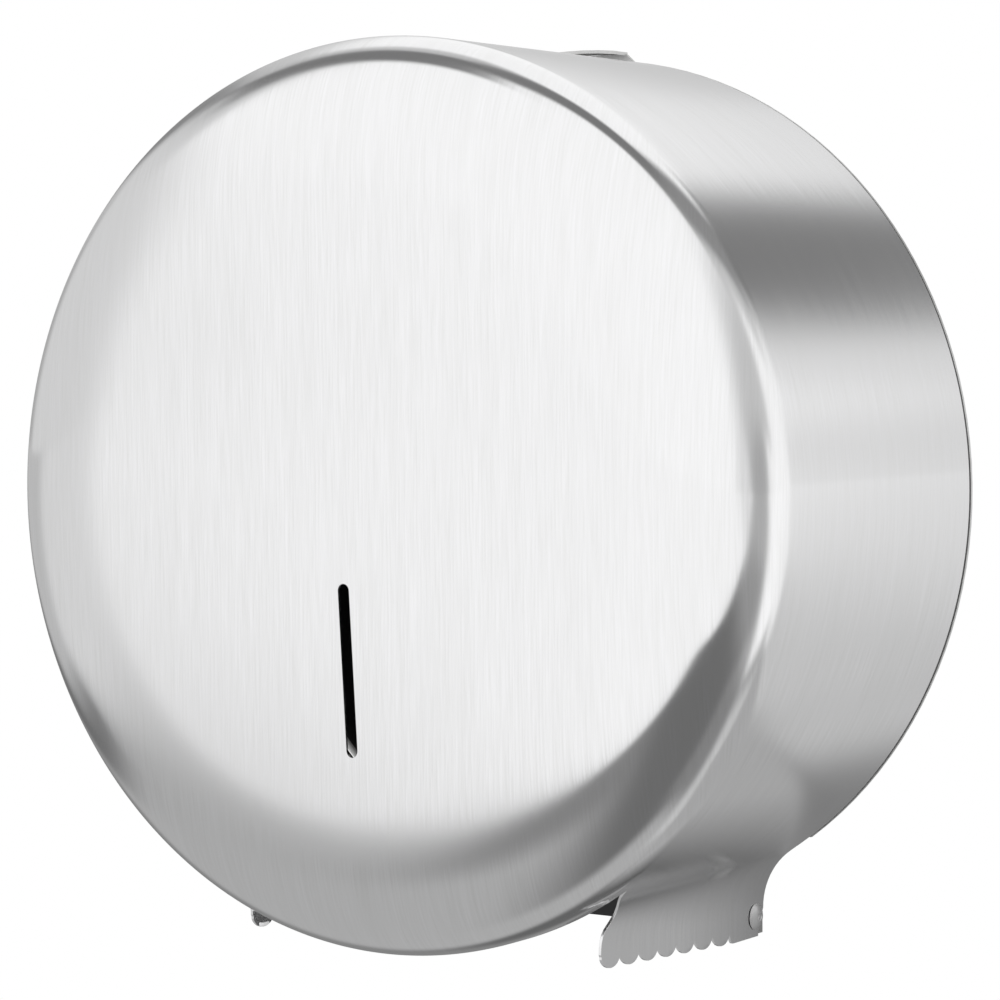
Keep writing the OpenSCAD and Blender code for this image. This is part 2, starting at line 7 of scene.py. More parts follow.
import logging
import math
from dataclasses import dataclass, field
from enum import Enum
from typing import Any, ClassVar, Mapping, Sequence

import bmesh
import bpy
from bmesh.types import BMEdge, BMesh, BMVert
from bpy.types import Material, Node, NodeSocket, NodeTree, Object
from mathutils import Matrix, Vector


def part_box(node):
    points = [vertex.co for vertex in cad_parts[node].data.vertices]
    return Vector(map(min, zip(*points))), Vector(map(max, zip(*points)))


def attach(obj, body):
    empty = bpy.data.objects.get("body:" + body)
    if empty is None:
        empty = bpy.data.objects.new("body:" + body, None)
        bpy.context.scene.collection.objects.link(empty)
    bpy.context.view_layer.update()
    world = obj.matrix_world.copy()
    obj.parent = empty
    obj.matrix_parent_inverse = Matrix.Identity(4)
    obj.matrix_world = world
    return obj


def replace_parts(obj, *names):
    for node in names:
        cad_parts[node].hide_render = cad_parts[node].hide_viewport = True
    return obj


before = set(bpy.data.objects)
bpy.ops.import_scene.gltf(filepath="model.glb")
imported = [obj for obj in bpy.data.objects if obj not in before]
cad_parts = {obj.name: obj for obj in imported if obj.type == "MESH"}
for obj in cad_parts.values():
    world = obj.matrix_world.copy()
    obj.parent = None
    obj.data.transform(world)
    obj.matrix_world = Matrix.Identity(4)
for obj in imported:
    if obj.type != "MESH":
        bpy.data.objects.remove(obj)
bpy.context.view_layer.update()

LOG = logging.getLogger("dispenser")
MM = 0.001
WELD = 0.02 * MM
NEAR = 0.05 * MM


class Body(Enum):
    """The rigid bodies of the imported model."""

    MOUNTING = "mounting"
    COVER = "cover"
    HUB = "hub"
    LATCH = "latch"


class Side(Enum):
    """Right and left, as the sign of x."""

    RIGHT = 1
    LEFT = -1


# ---- Colour and nodes ----


def linear(hex_colour: str) -> tuple[float, float, float, float]:
    """Turns an sRGB hex colour into the linear colour that a shader takes.

    Args:
        hex_colour: Six hex digits, with or without a leading hash.

    Returns:
        Red, green, blue and an alpha of 1.
    """
    digits = hex_colour.lstrip("#")
    channels = [int(digits[i:i + 2], 16) / 255 for i in (0, 2, 4)]
    red, green, blue = (c / 12.92 if c <= 0.04045 else ((c + 0.055) / 1.055) ** 2.4 for c in channels)
    return red, green, blue, 1.0


def add(tree: NodeTree, kind: str, settings: Mapping[str, Any] | None = None,
        inputs: Mapping[str | int, Any] | None = None) -> Node:
    """Adds a node with its settings and its inputs.

    Args:
        tree: The node tree to add to.
        kind: The node's type name.
        settings: Attributes of the node.
        inputs: Values or output sockets for its inputs, by name or number.

    Returns:
        The new node.
    """
    node = tree.nodes.new(kind)
    for name, value in (settings or {}).items():
        setattr(node, name, value)
    for key, value in (inputs or {}).items():
        if isinstance(value, NodeSocket):
            tree.links.new(value, node.inputs[key])
        else:
            node.inputs[key].default_value = value
    return node


def empty_material(name: str) -> Material:
    """Makes a material whose node tree is still empty."""
    material = bpy.data.materials.new(name)
    material.use_nodes = True
    material.node_tree.nodes.clear()
    return material


# ---- Finishes ----


@dataclass(frozen=True)
class Finish:
    """A surface finish that builds one material."""

    name: str
    slot: str

    def dress(self, tree: NodeTree) -> Node:
        """Adds the finish's nodes and returns its shader node."""
        raise NotImplementedError

    def material(self) -> Material:
        """Builds the material, or finds the one already built.

        Returns:
            The material.
        """
        found = bpy.data.materials.get(self.name)
        if found:
            return found
        material = empty_material(self.name)
        tree = material.node_tree
        shader = self.dress(tree)
        add(tree, "ShaderNodeOutputMaterial", inputs={"Surface": shader.outputs[0]})
        return material


@dataclass(frozen=True)
class BareMetal(Finish):
    """Bare metal with shallow marks: where its noise runs low it is a little darker and rougher."""

    span: ClassVar[tuple[float, float]]
    relief: ClassVar[float]
    depth: ClassVar[float] = 0.01 * MM
    colour_dark: str
    colour_light: str
    roughness: float
    roughness_spread: float

    def shade(self, tree: NodeTree, noise: NodeSocket, marks: NodeSocket,
              more: Mapping[str, Any] | None = None) -> Node:
        """Adds the shader with its colour, roughness and marks.

        Args:
            tree: The material's node tree.
            noise: What the colour and the roughness follow.
            marks: The height of the marks.
            more: Further inputs of the shader.

        Returns:
            The shader node.
        """
        low, high = self.span
        tone = add(tree, "ShaderNodeMapRange", inputs={
            "Value": noise, "From Min": low, "From Max": high}).outputs[0]
        colour = add(tree, "ShaderNodeMix", {"data_type": "RGBA"}, {
            0: tone, 6: linear(self.colour_dark), 7: linear(self.colour_light)}).outputs[2]
        rough = add(tree, "ShaderNodeMapRange", inputs={
            "Value": tone, "To Min": self.roughness + self.roughness_spread,
            "To Max": self.roughness - self.roughness_spread}).outputs[0]
        bump = add(tree, "ShaderNodeBump", inputs={
            "Height": marks, "Strength": self.relief, "Distance": self.depth}).outputs[0]
        return add(tree, "ShaderNodeBsdfPrincipled", inputs={
            "Base Color": colour, "Metallic": 1.0, "Roughness": rough, "Normal": bump, **(more or {})})


@dataclass(frozen=True)
class BrushedSheet(BareMetal):
    """Stainless sheet, belt-brushed before it was drawn: long fine scratches in one direction.

    The UV map is in metres, across the grain in U and along it in V, so the scratches follow the
    sheet round the drawn edge. Highlights stretch across the grain.
    """

    span = (0.3, 0.7)
    relief = 0.35
    anisotropy: float
    scratch_width: float
    scratch_length: float
    streak_width: float
    bands: float

    def dress(self, tree: NodeTree) -> Node:
        """Adds the brushed sheet's nodes.

        Args:
            tree: The material's node tree.

        Returns:
            The shader node.
        """
        grain = add(tree, "ShaderNodeUVMap", {"uv_map": "grain"}).outputs[0]
        fine = self.streaks(tree, grain, self.scratch_width, self.scratch_length)
        broad = self.streaks(tree, grain, self.streak_width, self.scratch_length * 4)
        both = add(tree, "ShaderNodeMath", {"operation": "MULTIPLY_ADD"}, {
            0: broad, 1: self.bands, 2: fine}).outputs[0]
        mixed = add(tree, "ShaderNodeMath", {"operation": "DIVIDE"}, {
            0: both, 1: 1 + self.bands}).outputs[0]
        tangent = add(tree, "ShaderNodeTangent", {"direction_type": "UV_MAP", "uv_map": "grain"})
        return self.shade(tree, mixed, fine, {
            "Anisotropic": self.anisotropy, "Tangent": tangent.outputs[0]})

    def streaks(self, tree: NodeTree, grain: NodeSocket, width: float, length: float) -> NodeSocket:
        """Noise drawn out along the grain.

        Args:
            tree: The material's node tree.
            grain: The UV map's output.
            width: Width of a streak, in metres.
            length: Length of a streak, in metres.

        Returns:
            The noise's output, from 0 to 1.
        """
        scaled = add(tree, "ShaderNodeMapping", inputs={
            "Vector": grain, "Scale": (0.5 / width, 0.5 / length, 1.0)})
        return add(tree, "ShaderNodeTexNoise", {"noise_dimensions": "2D"}, {
            "Vector": scaled.outputs[0], "Scale": 1.0, "Detail": 4.0, "Roughness": 0.6}).outputs[0]


@dataclass(frozen=True)
class MilledSteel(BareMetal):
    """Steel as it comes from the mill or the press: a fine even grain and faint cloudy patches."""

    span = (0.35, 0.65)
    relief = 0.3
    grain: float
    cloud: float = 12 * MM
    stretch: tuple[float, float, float] = (1.0, 1.0, 1.0)

    def dress(self, tree: NodeTree) -> Node:
        """Adds the milled steel's nodes.

        Args:
            tree: The material's node tree.

        Returns:
            The shader node.
        """
        place = add(tree, "ShaderNodeTexCoord").outputs["Object"]
        drawn = add(tree, "ShaderNodeMapping", inputs={"Vector": place, "Scale": self.stretch}).outputs[0]
        fine = add(tree, "ShaderNodeTexNoise", inputs={
            "Vector": drawn, "Scale": 0.5 / self.grain, "Detail": 3.0, "Roughness": 0.6}).outputs[0]
        cloudy = add(tree, "ShaderNodeTexNoise", inputs={
            "Vector": place, "Scale": 0.5 / self.cloud, "Detail": 2.0, "Roughness": 0.5}).outputs[0]
        mixed = add(tree, "ShaderNodeMix", {"data_type": "FLOAT"}, {
            0: 0.5, 2: fine, 3: cloudy}).outputs[0]
        return self.shade(tree, mixed, fine)


@dataclass(frozen=True)
class PaintedShadeSheet(Finish):
    """Steel sheet in near black that is painted shade, for the shade inside the drum, with a faint orange
    peel; bare steel on its round rim and its ears.
    """

    colour_dark: str
    colour_light: str
    colour_bare: str
    roughness: float
    roughness_spread: float
    texture: float
    depth: float
    relief: float
    bare_beyond: float
    bare_above: float
    ear_beyond: float
    ear_below: float

    def dress(self, tree: NodeTree) -> Node:
        """Adds the sheet's nodes: near-black painted shade, with bare steel at the rim and the ears.

        Args:
            tree: The material's node tree.

        Returns:
            The shader node.
        """
        place = add(tree, "ShaderNodeTexCoord").outputs["Object"]
        peel = add(tree, "ShaderNodeTexNoise", inputs={
            "Vector": place, "Scale": 0.5 / self.texture, "Detail": 2.0, "Roughness": 0.5}).outputs[0]
        upright = add(tree, "ShaderNodeVectorMath", {"operation": "MULTIPLY"}, {
            0: place, 1: (1, 0, 1)}).outputs[0]
        out = add(tree, "ShaderNodeVectorMath", {"operation": "LENGTH"}, {0: upright}).outputs["Value"]
        parts = add(tree, "ShaderNodeSeparateXYZ", inputs={0: place}).outputs
        aside = add(tree, "ShaderNodeMath", {"operation": "ABSOLUTE"}, {0: parts[0]}).outputs[0]
        limits = (("GREATER_THAN", out, self.bare_beyond), ("GREATER_THAN", parts[2], self.bare_above),
                  ("GREATER_THAN", aside, self.ear_beyond), ("LESS_THAN", parts[2], self.ear_below))
        met = [add(tree, "ShaderNodeMath", {"operation": test}, {0: value, 1: limit}).outputs[0]
               for test, value, limit in limits]
        rim, ear = (add(tree, "ShaderNodeMath", {"operation": "MULTIPLY"}, {0: a, 1: b}).outputs[0]
                    for a, b in (met[:2], met[2:]))
        bare = add(tree, "ShaderNodeMath", {"operation": "MAXIMUM"}, {0: rim, 1: ear}).outputs[0]
        # The near-black colour is painted shade: it stands in for the shade inside the drum and its
        # opening.
        painted_shade = add(tree, "ShaderNodeMix", {"data_type": "RGBA"}, {
            0: peel, 6: linear(self.colour_dark), 7: linear(self.colour_light)}).outputs[2]
        colour = add(tree, "ShaderNodeMix", {"data_type": "RGBA"}, {
            0: bare, 6: painted_shade, 7: linear(self.colour_bare)}).outputs[2]
        rough = add(tree, "ShaderNodeMapRange", inputs={
            "Value": peel, "To Min": self.roughness - self.roughness_spread,
            "To Max": self.roughness + self.roughness_spread}).outputs[0]
        bump = add(tree, "ShaderNodeBump", inputs={
            "Height": peel, "Strength": self.relief, "Distance": self.depth})
        return add(tree, "ShaderNodeBsdfPrincipled", inputs={
            "Base Color": colour, "Metallic": bare, "Roughness": rough, "Normal": bump.outputs[0]})


@dataclass(frozen=True)
class MouldedPlastic(Finish):
    """Injection-moulded plastic with the fine even texture of an eroded mould."""

    colour_dark: str
    colour_light: str
    roughness: float
    texture: float
    roughness_spread: float = 0.06
    depth: float = 0.02 * MM
    relief: float = 0.4
    flow: float = 1 / 60

    def dress(self, tree: NodeTree) -> Node:
        """Adds the moulded plastic's nodes.

        Args:
            tree: The material's node tree.

        Returns:
            The shader node.
        """
        place = add(tree, "ShaderNodeTexCoord").outputs["Object"]
        pits = add(tree, "ShaderNodeTexNoise", inputs={
            "Vector": place, "Scale": 0.5 / self.texture, "Detail": 2.0, "Roughness": 0.5}).outputs[0]
        flow = add(tree, "ShaderNodeTexNoise", inputs={
            "Vector": place, "Scale": 0.5 / self.flow, "Detail": 1.0, "Roughness": 0.5}).outputs[0]
        colour = add(tree, "ShaderNodeMix", {"data_type": "RGBA"}, {
            0: flow, 6: linear(self.colour_dark), 7: linear(self.colour_light)})
        rough = add(tree, "ShaderNodeMapRange", inputs={
            "Value": pits, "To Min": self.roughness - self.roughness_spread,
            "To Max": self.roughness + self.roughness_spread}).outputs[0]
        bump = add(tree, "ShaderNodeBump", inputs={
            "Height": pits, "Strength": self.relief, "Distance": self.depth})
        return add(tree, "ShaderNodeBsdfPrincipled", inputs={
            "Base Color": colour.outputs[2], "Roughness": rough, "Normal": bump.outputs[0]})


# Brushed 304 sheet: bright and soft at once, with faint upright streaks on the face and
# reflections that keep a crisp edge along the grain but smear across it.
COVER_SHEET = BrushedSheet(
    "brushed_stainless_sheet", "brushed_cover", "#EAEAEA", "#F1F1F2", roughness=0.13,
    roughness_spread=0.02, anisotropy=0.95, scratch_width=0.3 * MM, scratch_length=10 * MM,
    streak_width=2.2 * MM, bands=0.5)
# Near-black painted shade on the steel plate: it stands in for the shade inside the drum, so the foot's
# opening reads as dark. The round rim, the tab at the top and the ears behind the rivets are left bare and
# stay light.
PLATE_PAINTED_SHADE = PaintedShadeSheet(
    "plate_painted_shade_black", "plate_steel", "#171718", "#1F1F21", "#D6D6D5", roughness=0.46,
    roughness_spread=0.05, texture=0.5 * MM, depth=0.02 * MM, relief=0.3, bare_beyond=127.5 * MM,
    bare_above=-106 * MM, ear_beyond=56.5 * MM, ear_below=-113 * MM)
# Bright zinc on pressed steel: a cool light grey, a little cloudy where the bath left it.
PRESSED_BRACKET = MilledSteel(
    "zinc_plated_bracket", "bracket_steel", "#9FA1A4", "#B9BBBE", roughness=0.38,
    roughness_spread=0.08, grain=0.4 * MM, cloud=6 * MM)
# Stainless blind rivets: duller than the cover, with small soft marks from the setting tool.
RIVET_HEAD = MilledSteel(
    "rivet_steel", "rivet_steel", "#AEAEAD", "#CACAC8", roughness=0.3,
    roughness_spread=0.06, grain=0.15 * MM, cloud=2 * MM)
# Turned bar: clean and bright, with tight highlights drawn round it.
TURNED_BAR = MilledSteel(
    "turned_steel_bar", "bright_steel", "#BDBEC0", "#DADBDC", roughness=0.2,
    roughness_spread=0.05, grain=0.12 * MM, stretch=(0.15, 1.0, 0.15))
# Oiled spring steel: dark grey, with a narrow sheen along the wire.
SPRING_WIRE = MilledSteel(
    "oiled_spring_steel", "spring_steel", "#4C4C4E", "#6A6A6C", roughness=0.32,
    roughness_spread=0.05, grain=0.1 * MM, cloud=3 * MM)
# White ABS off an eroded mould: matt, with a soft broad sheen.
WHITE_ABS = MouldedPlastic(
    "white_moulded_plastic", "white_plastic", "#E4E4E0", "#ECECE9", roughness=0.42, texture=0.25 * MM)
# Grey acetal: slippery and waxy, a little smoother than the hub.
GREY_ACETAL = MouldedPlastic(
    "grey_acetal_bush", "grey_plastic", "#75787B", "#83868A", roughness=0.38, texture=0.2 * MM)
# Natural nylon: a warm off-white beside the steel.
NATURAL_NYLON = MouldedPlastic(
    "natural_nylon_washer", "nylon", "#D9D5C6", "#E4E1D5", roughness=0.45, texture=0.2 * MM)

CAD_FINISHES: dict[str, Finish] = {
    "wall_plate": PLATE_PAINTED_SHADE, "spindle_bracket": PRESSED_BRACKET, "bracket_rivets": RIVET_HEAD,
    "right_hinge_washer": NATURAL_NYLON, "left_hinge_washer": NATURAL_NYLON, "axle": TURNED_BAR,
    "axle_lock_washer": PRESSED_BRACKET, "axle_nut": PRESSED_BRACKET,
    "rear_thrust_washer": NATURAL_NYLON, "front_thrust_washer": NATURAL_NYLON,
    "retaining_ring": SPRING_WIRE, "roll_hub": WHITE_ABS, "hub_bush_rear": GREY_ACETAL,
    "hub_bush_front": GREY_ACETAL, "hub_end_cap": WHITE_ABS, "latch_bracket": PRESSED_BRACKET,
    "latch_rivets": RIVET_HEAD, "latch_pin": TURNED_BAR, "latch_lever": PRESSED_BRACKET,
    "right_hinge_rivet": RIVET_HEAD, "left_hinge_rivet": RIVET_HEAD, "latch_spring": SPRING_WIRE}


# ---- Mesh helpers ----

# Edges that bend more than the first are softened, and more than the second stay crisp.
SOFTENED_FROM = math.radians(75)
CRISP_FROM = math.radians(20)


def bezier(points: Sequence[Vector], steps: int) -> list[Vector]:
    """Points along a cubic curve.

    Args:
        points: The curve's four control points.
        steps: Number of pieces.

    Returns:
        The steps + 1 points.
    """
    p, q, r, s = points
    curve = []
    for i in range(steps + 1):
        t = i / steps
        u = 1 - t
        curve.append(p * u ** 3 + q * (3 * u * u * t) + r * (3 * u * t * t) + s * t ** 3)
    return curve


def height_at(line: Sequence[Vector], z: float) -> float:
    """The distance forward at a height on a side-view line that runs downwards.

    Args:
        line: Points (h, z) from top to bottom.
        z: The height asked for.

    Returns:
        The distance forward, held at the line's ends.
    """
    if z >= line[0].y:
        return line[0].x
    for upper, lower in zip(line, line[1:]):
        if z >= lower.y:
            share = (upper.y - z) / max(upper.y - lower.y, 1e-9)
            return upper.x + share * (lower.x - upper.x)
    return line[-1].x


def chain(bm: BMesh, points: Sequence[Sequence[float]], closed: bool = False
          ) -> tuple[list[BMVert], list[BMEdge]]:
    """Adds vertices joined one after the other by edges.

    Args:
        bm: The mesh.
        points: Their places.
        closed: Whether the last joins the first.

    Returns:
        The vertices and the edges.
    """
    verts = [bm.verts.new(p) for p in points]
    pairs = list(zip(verts, verts[1:])) + ([(verts[-1], verts[0])] if closed else [])
    return verts, [bm.edges.new(pair) for pair in pairs]


def put_in_scene(name: str, bm: BMesh) -> Object:
    """Makes an object of a mesh, which is freed."""
    mesh = bpy.data.meshes.new(name)
    bm.to_mesh(mesh)
    bm.free()
    piece = bpy.data.objects.new(name, mesh)
    bpy.context.scene.collection.objects.link(piece)
    return piece


def finished(name: str, bm: BMesh, finish: Finish, body: Body, sheet: float = 0.0, edge: float = 0.0
             ) -> Object:
    """Makes a shaded piece of a mesh: thickness, softened edges, smooth faces, finish and body.

    Args:
        name: The piece's name.
        bm: The mesh, which is freed.
        finish: Its finish.
        body: The body that it rides on.
        sheet: Thickness given to an open sheet, inwards.
        edge: Width of the softened edges.

    Returns:
        The new object.
    """
    piece = put_in_scene(name, bm)
    # The modifiers lose small edges in metres, so the piece is thickened in millimetres.
    piece.data.transform(Matrix.Scale(1 / MM, 4))
    if sheet:
        wall = piece.modifiers.new("sheet", "SOLIDIFY")
        wall.thickness = sheet / MM
        wall.offset = -1.0
        wall.use_even_offset = False
    if edge:
        soft = piece.modifiers.new("edge", "BEVEL")
        soft.width = edge / MM
        soft.segments = 2
        soft.use_clamp_overlap = False
        soft.limit_method = "ANGLE"
        soft.angle_limit = SOFTENED_FROM
    if sheet or edge:
        graph = bpy.context.evaluated_depsgraph_get()
        baked = bpy.data.meshes.new_from_object(piece.evaluated_get(graph))
        piece.modifiers.clear()
        piece.data = baked
    piece.data.transform(Matrix.Scale(MM, 4))
    shape = bmesh.new()
    shape.from_mesh(piece.data)
    for face in shape.faces:
        face.smooth = True
    for seam in shape.edges:
        seam.smooth = not (len(seam.link_faces) == 2
                           and seam.calc_face_angle(0.0) > CRISP_FROM)
    shape.to_mesh(piece.data)
    shape.free()
    piece.data.materials.clear()
    piece.data.materials.append(finish.material())
    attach(piece, body.value)
    LOG.info("%s: %d faces on %s", name, len(piece.data.polygons), body.value)
    return piece


# ---- Cover ----


@dataclass
class Cover:
    """The drawn dish with its side and the two serrated lips, one sheet of brushed steel."""

    radius: float = 130 * MM
    depth: float = 131 * MM
    sheet: float = 0.8 * MM
    softened: float = 0.04 * MM
    edge_radial: float = 45 * MM
    edge_axial: float = 25 * MM
    edge_power: float = 2.5
    outlet_angle: float = math.radians(35)
    ring_back: float = 100 * MM
    rear_top: float = 1.4 * MM
    rear_foot: float = 2.6 * MM
    slot_length: float = 48.4 * MM
    slot_width: float = 3.8 * MM
    slot_drop: float = 47.2 * MM
    slot_turn: float = math.radians(3.2)
    slot_steps: int = 16
    key_back: float = 12.1 * MM
    key_front: float = 19.9 * MM
    key_turn: float = math.radians(2.4)
    lip_inset: float = 12.6 * MM
    bend_r: float = 22 * MM
    bend_steps: int = 12
    lip_hang: float = 4.9 * MM
    lip_rise: float = 4.4 * MM
    teeth: int = 7
    tooth_pitch: float = 10.2 * MM
    tooth_depth: float = 3.4 * MM
    tooth_steps: int = 10
    lobe_depth: float = 4.1 * MM
    notch_turn: float = math.acos(1 - 0.06)
    notch_top: tuple[tuple[float, float], ...] = (
        (-0.19 * MM, 0.36 * MM), (-0.09 * MM, 0.1 * MM), (0.0, 0.04 * MM), (0.09 * MM, 0.1 * MM),
        (0.19 * MM, 0.36 * MM))
    plain_end: float = 22.6 * MM
    corner_r: float = 1.6 * MM
    corner_steps: int = 4
    corner_in: float = 1.9 * MM
    cut_along: float = 5.8 * MM
    cut_up: float = 4.3 * MM
    waist_in: float = 2.8 * MM
    waist_drop: float = 9.5 * MM
    cheek_drop: float = 16 * MM
    upper_steps: int = 242
    lower_steps: int = 58
    edge_steps: int = 48
    disc_r: float = 82 * MM
    stations: list[float] = field(init=False, default_factory=list)
    edge: list[Vector] = field(init=False, default_factory=list)
    reach: list[float] = field(init=False, default_factory=list)

    def __post_init__(self) -> None:
        """Works out where the lip leaves the drum, where it bends, and the drawn edge's section.

        The section is a curve between an ellipse and a rounded square, so the flat face falls
        away slowly before the sheet turns into the side.
        """
        self.leave_x = self.radius * math.sin(self.outlet_angle)
        self.leave_z = -self.radius * math.cos(self.outlet_angle)
        self.lip_x = self.leave_x - self.lip_inset
        self.bend_turn = math.pi / 2 - self.outlet_angle
        run = self.lip_inset / math.cos(self.outlet_angle)
        corner_z = self.leave_z - run * math.sin(self.outlet_angle)
        self.bend_z = corner_z - self.bend_r * math.tan(self.bend_turn / 2)
        self.lip_end = -self.radius - self.lip_hang
        self.stations = [0.0, self.key_back, self.key_front] + [h * MM for h in range(30, 91, 10)]
        self.stations += [self.ring_back, self.depth - self.edge_axial]
        for i in range(self.edge_steps + 1):
            angle = math.pi / 2 * i / self.edge_steps
            out = max(math.sin(angle), 0.0) ** (2 / self.edge_power)
            forward = max(math.cos(angle), 0.0) ** (2 / self.edge_power)
            self.edge.append(Vector((self.radius - self.edge_radial * (1 - out),
                                     self.depth - self.edge_axial * (1 - forward))))
        self.reach = [self.edge[0].x]
        for inner, outer in zip(self.edge, self.edge[1:]):
            self.reach.append(self.reach[-1] + (outer - inner).length)

    def rear(self, z: float) -> float:
        """Distance of the rear edge from the wall at height z: the cover leans out at its foot."""
        share = (self.radius - z) / (self.radius - self.leave_z)
        return self.rear_top + (self.rear_foot - self.rear_top) * share

    def build(self) -> Object:
        """Builds the cover.

        Returns:
            The cover's object, which stands for the plain one.
        """
        bm = bmesh.new()
        self.skin(bm)
        self.face(bm)
        for side in Side:
            self.lip(bm, side)
        bmesh.ops.remove_doubles(bm, verts=bm.verts[:], dist=WELD)
        bmesh.ops.recalc_face_normals(bm, faces=bm.faces[:])
        middle = max(bm.faces, key=lambda f: -f.calc_center_median().y)
        if middle.normal.y > 0:
            bmesh.ops.reverse_faces(bm, faces=bm.faces[:])
        self.lay_grain(bm)
        piece = finished("drum_cover", bm, COVER_SHEET, Body.COVER, self.sheet, self.softened)
        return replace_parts(piece, "cover_shell")

    def skin(self, bm: BMesh) -> None:
        """Spins the side and the drawn edge, leaving the outlet and the key slot open."""
        right = self.outlet_angle - math.pi / 2
        self.turn(bm, right, 2 * math.pi - 2 * self.outlet_angle, self.upper_steps, self.stations)
        ring = [h for h in self.stations if h >= self.ring_back]
        self.turn(bm, right - 2 * self.outlet_angle, 2 * self.outlet_angle, self.lower_steps, ring)
        bmesh.ops.remove_doubles(bm, verts=bm.verts[:], dist=WELD)
        for vert in bm.verts:
            if -vert.co.y < 1 * MM:
                vert.co.y = -self.rear(vert.co.z)
        half = self.key_turn * self.radius
        key = [f for f in bm.faces if abs(f.calc_center_median().x) < half
               and f.calc_center_median().z > 0
               and self.key_back < -f.calc_center_median().y < self.key_front]
        bmesh.ops.delete(bm, geom=key, context="FACES")

    def turn(self, bm: BMesh, start: float, sweep: float, steps: int, stations: Sequence[float]) -> None:
        """Spins one stretch of the side, the drawn edge and the face's rim about the drum's axis.

        Args:
            bm: The mesh.
            start: Angle of its first edge, from +X towards +Z.
            sweep: Angle that it turns through.
            steps: Number of faces round it.
            stations: Distances from the wall of the side's rows.
        """
        profile = [(self.radius, h) for h in stations] + [tuple(p) for p in self.edge[-2::-1]]
        profile.append((self.disc_r, self.depth))
        verts, edges = chain(bm, [(r * math.cos(start), -h, r * math.sin(start)) for r, h in profile])
        bmesh.ops.spin(bm, geom=verts + edges, cent=(0, 0, 0), axis=(0, -1, 0), angle=sweep,
                       steps=steps, use_merge=False, use_duplicate=False)

    def face(self, bm: BMesh) -> None:
        """Fills the middle of the flat face, round the viewing slot."""
        rim = [e for e in bm.edges if e.is_boundary and all(
            abs(v.co.y + self.depth) < WELD for v in e.verts)]
        half = (self.slot_length - self.slot_width) / 2
        turn = Matrix.Rotation(-self.slot_turn, 3, "Y")
        outline = []
        for end, first in ((1, 0), (-1, 180)):
            for i in range(self.slot_steps + 1):
                angle = math.radians(first + 180 * i / self.slot_steps)
                spot = Vector((self.slot_width / 2 * math.cos(angle), -self.depth,
                               end * half + self.slot_width / 2 * math.sin(angle) - self.slot_drop))
                outline.append(turn @ spot)
        _, slot = chain(bm, outline, closed=True)
        bmesh.ops.triangle_fill(bm, use_beauty=True, use_dissolve=False, edges=rim + slot,
                                normal=(0, -1, 0))

    def tooth_line(self, h: float) -> float:
        """Height of the line that the teeth hang down to, at a distance from the wall."""
        share = (h - self.plain_end) / (self.ring_back - self.plain_end)
        return self.lip_end + self.lip_rise * share

    def lower_edge(self) -> list[Vector]:
        """The lip's lower edge in side view.

        Returns:
            Points (h, z) from the rear corner to the front tooth.
        """
        corner = Vector((self.plain_end - self.corner_in, self.lip_end + self.corner_r))
        plain = (self.cut_along, 8 * MM, 12 * MM, 16 * MM, corner.x)
        line = [Vector((h, self.lip_end)) for h in plain]
        for i in range(1, self.corner_steps + 1):
            angle = math.pi / 2 * (i / self.corner_steps - 1)
            line.append(corner + self.corner_r * Vector((math.cos(angle), math.sin(angle))))
        for i in range(self.teeth):
            back = self.plain_end + i * self.tooth_pitch
            if i:
                line += [Vector((back + out, self.tooth_line(back) + self.tooth_depth - drop))
                         for out, drop in self.notch_top]
            for k in range(self.tooth_steps + 1):
                share = k / self.tooth_steps
                angle = math.pi + self.notch_turn + (math.pi - 2 * self.notch_turn) * share
                h = back + self.tooth_pitch / 2 * (1 + math.cos(angle))
                line.append(Vector((h, self.tooth_line(h) + self.lobe_depth * (1 + math.sin(angle)))))
        return line

    def front_edge(self) -> list[Vector]:
        """The lip's front edge in side view: away from the closed ring, in to a waist, out again.

        Returns:
            Points (h, z) from the ring down to the front tooth.
        """
        front = self.plain_end + self.teeth * self.tooth_pitch
        tip = Vector((self.ring_back, self.leave_z))
        waist = Vector((front - self.waist_in, self.leave_z - self.waist_drop))
        cheek = Vector((front, self.leave_z - self.cheek_drop))
        from_tip, through_waist = Vector((-4, -4)) * MM, Vector((0.6, -3)) * MM
        into_cheek = Vector((0, -3)) * MM
        upper = bezier([tip, tip + from_tip, waist - through_waist, waist], 10)
        lower = bezier([waist, waist + through_waist, cheek - into_cheek, cheek], 8)
        return upper + lower[1:] + [Vector((front, self.lip_end))]

    def rear_edge(self) -> list[Vector]:
        """The lip's rear edge in side view, with the corner that swings past the wall cut off.

        Returns:
            Points (h, z) from the drum down to the lower edge.
        """
        cut_top = self.lip_end + self.cut_up
        return [Vector((self.rear(self.leave_z), self.leave_z)), Vector((self.rear(cut_top), cut_top)),
                Vector((self.cut_along, self.lip_end))]

    def lip_rows(self) -> list[list[tuple[float, float, float]]]:
        """Rows of points over the right lip: round its bend, and down its flange to the teeth.

        Returns:
            The rows of points (x, h, z), each from the rear to the front.
        """
        bottom = self.lower_edge()
        front, rear = self.front_edge(), self.rear_edge()
        shares = [(p.x - bottom[0].x) / (bottom[-1].x - bottom[0].x) for p in bottom]
        bend_x = self.lip_x + self.bend_r
        rows: list[list[tuple[float, float, float]]] = []
        for i in range(self.bend_steps + 1):
            angle = math.pi - self.bend_turn * (1 - i / self.bend_steps)
            x, z = bend_x + self.bend_r * math.cos(angle), self.bend_z + self.bend_r * math.sin(angle)
            back, ahead = height_at(rear, z), height_at(front, z)
            rows.append([(x, back + s * (ahead - back), z) for s in shares])
        last = rows[-1]
        tops = [self.tooth_line(p.x) + self.tooth_depth + 0.1 * MM for p in bottom]
        for share in (0.5, 1.0):
            rows.append([(self.lip_x, h + share * (p.x - h), z + share * (top - z))
                         for (_, h, z), p, top in zip(last, bottom, tops)])
        for share in (0.5, 1.0):
            rows.append([(self.lip_x, p.x, top + share * (p.y - top)) for p, top in zip(bottom, tops)])
        return rows

